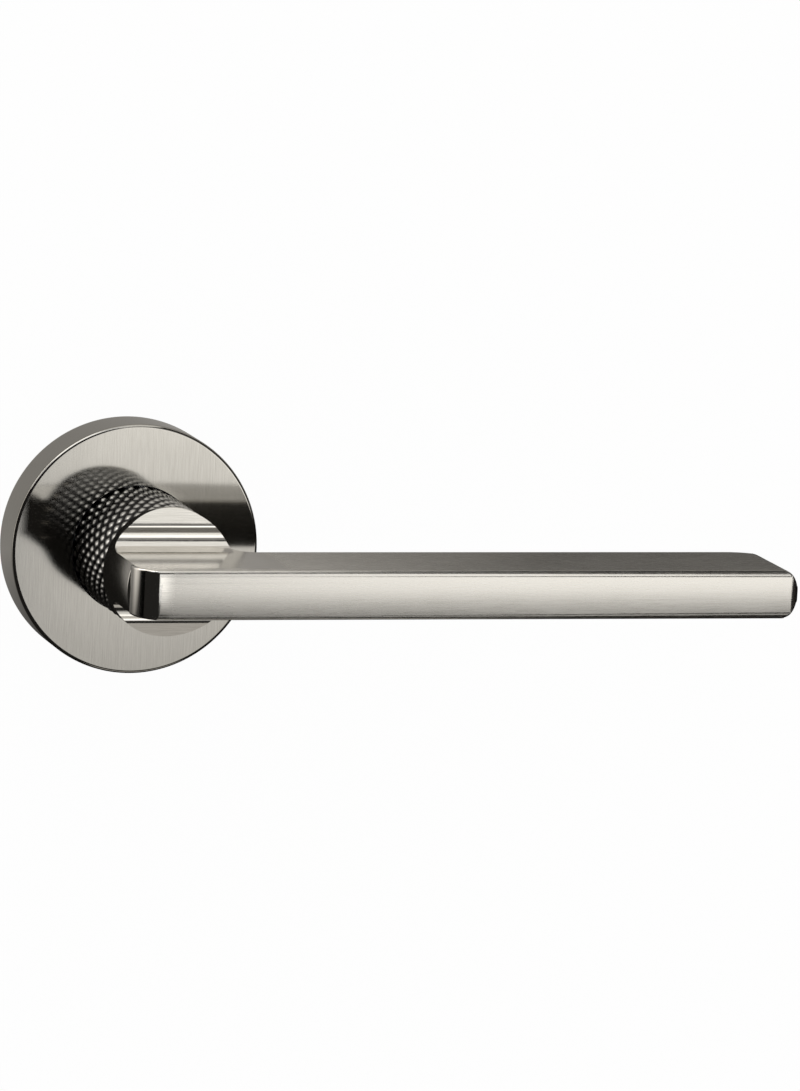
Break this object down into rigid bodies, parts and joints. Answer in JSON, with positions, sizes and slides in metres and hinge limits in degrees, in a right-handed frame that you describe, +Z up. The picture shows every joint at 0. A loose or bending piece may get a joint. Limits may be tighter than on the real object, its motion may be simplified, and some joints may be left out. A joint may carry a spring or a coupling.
{
  "type": "door lever handle",
  "caption": "Door lever handle on a round rose: a flat straight bar on a knurled neck that turns down and springs back, with its spindle and fixings.",
  "frame": {"origin": "the spindle's axis where it meets the door's face", "axes": "+X along the lever towards its tip, +Y into the door along the spindle, +Z up"},
  "size_m": [0.1517, 0.1251, 0.052],
  "materials": {
    "satin_nickel": "satin nickel plate, brushed, polished on the head",
    "dark_nickel": "dark nickel plate on a cut knurl",
    "zinc": "zinc casting, dull",
    "steel": "zinc-plated steel",
    "spring_steel": "dark spring steel",
    "nylon": "natural nylon"
  },
  "bodies": {
    "door_side": {"base_plate": "zinc", "bearing_bush": "nylon", "stop_pin_rest": "steel", "stop_pin_end": "steel", "return_spring": "spring_steel", "spring_cap": "steel", "cap_rivet_1": "steel", "cap_rivet_2": "steel", "cap_rivet_3": "steel", "cap_rivet_4": "steel", "cover_clip_1": "spring_steel", "cover_clip_2": "spring_steel", "cover_clip_3": "spring_steel", "cover_clip_4": "spring_steel", "through_bolt_left": "steel", "through_bolt_right": "steel", "wood_screw_top": "steel", "wood_screw_bottom": "steel"},
    "lever": {"lever_handle": "satin_nickel", "knurled_sleeve": "dark_nickel", "grub_screw": "spring_steel", "square_spindle": "steel", "circlip": "spring_steel", "thrust_washer": "steel", "spring_driver": "steel"},
    "cover": {"rose_cover": "satin_nickel"}
  },
  "joints": [
    {"name": "lever_turn", "type": "hinge", "parent": "door_side", "child": "lever", "pos_m": [0, 0, 0], "axis": [0, 1, 0], "range_deg": [0, 50], "stiffness_Nm_per_rad": 0.5, "springref_deg": -40.11, "deforming": ["return_spring"]},
    {"name": "cover_slide", "type": "slide", "parent": "door_side", "child": "cover", "axis": [0, -1, 0], "range_m": [0, 0.027]}
  ]
}
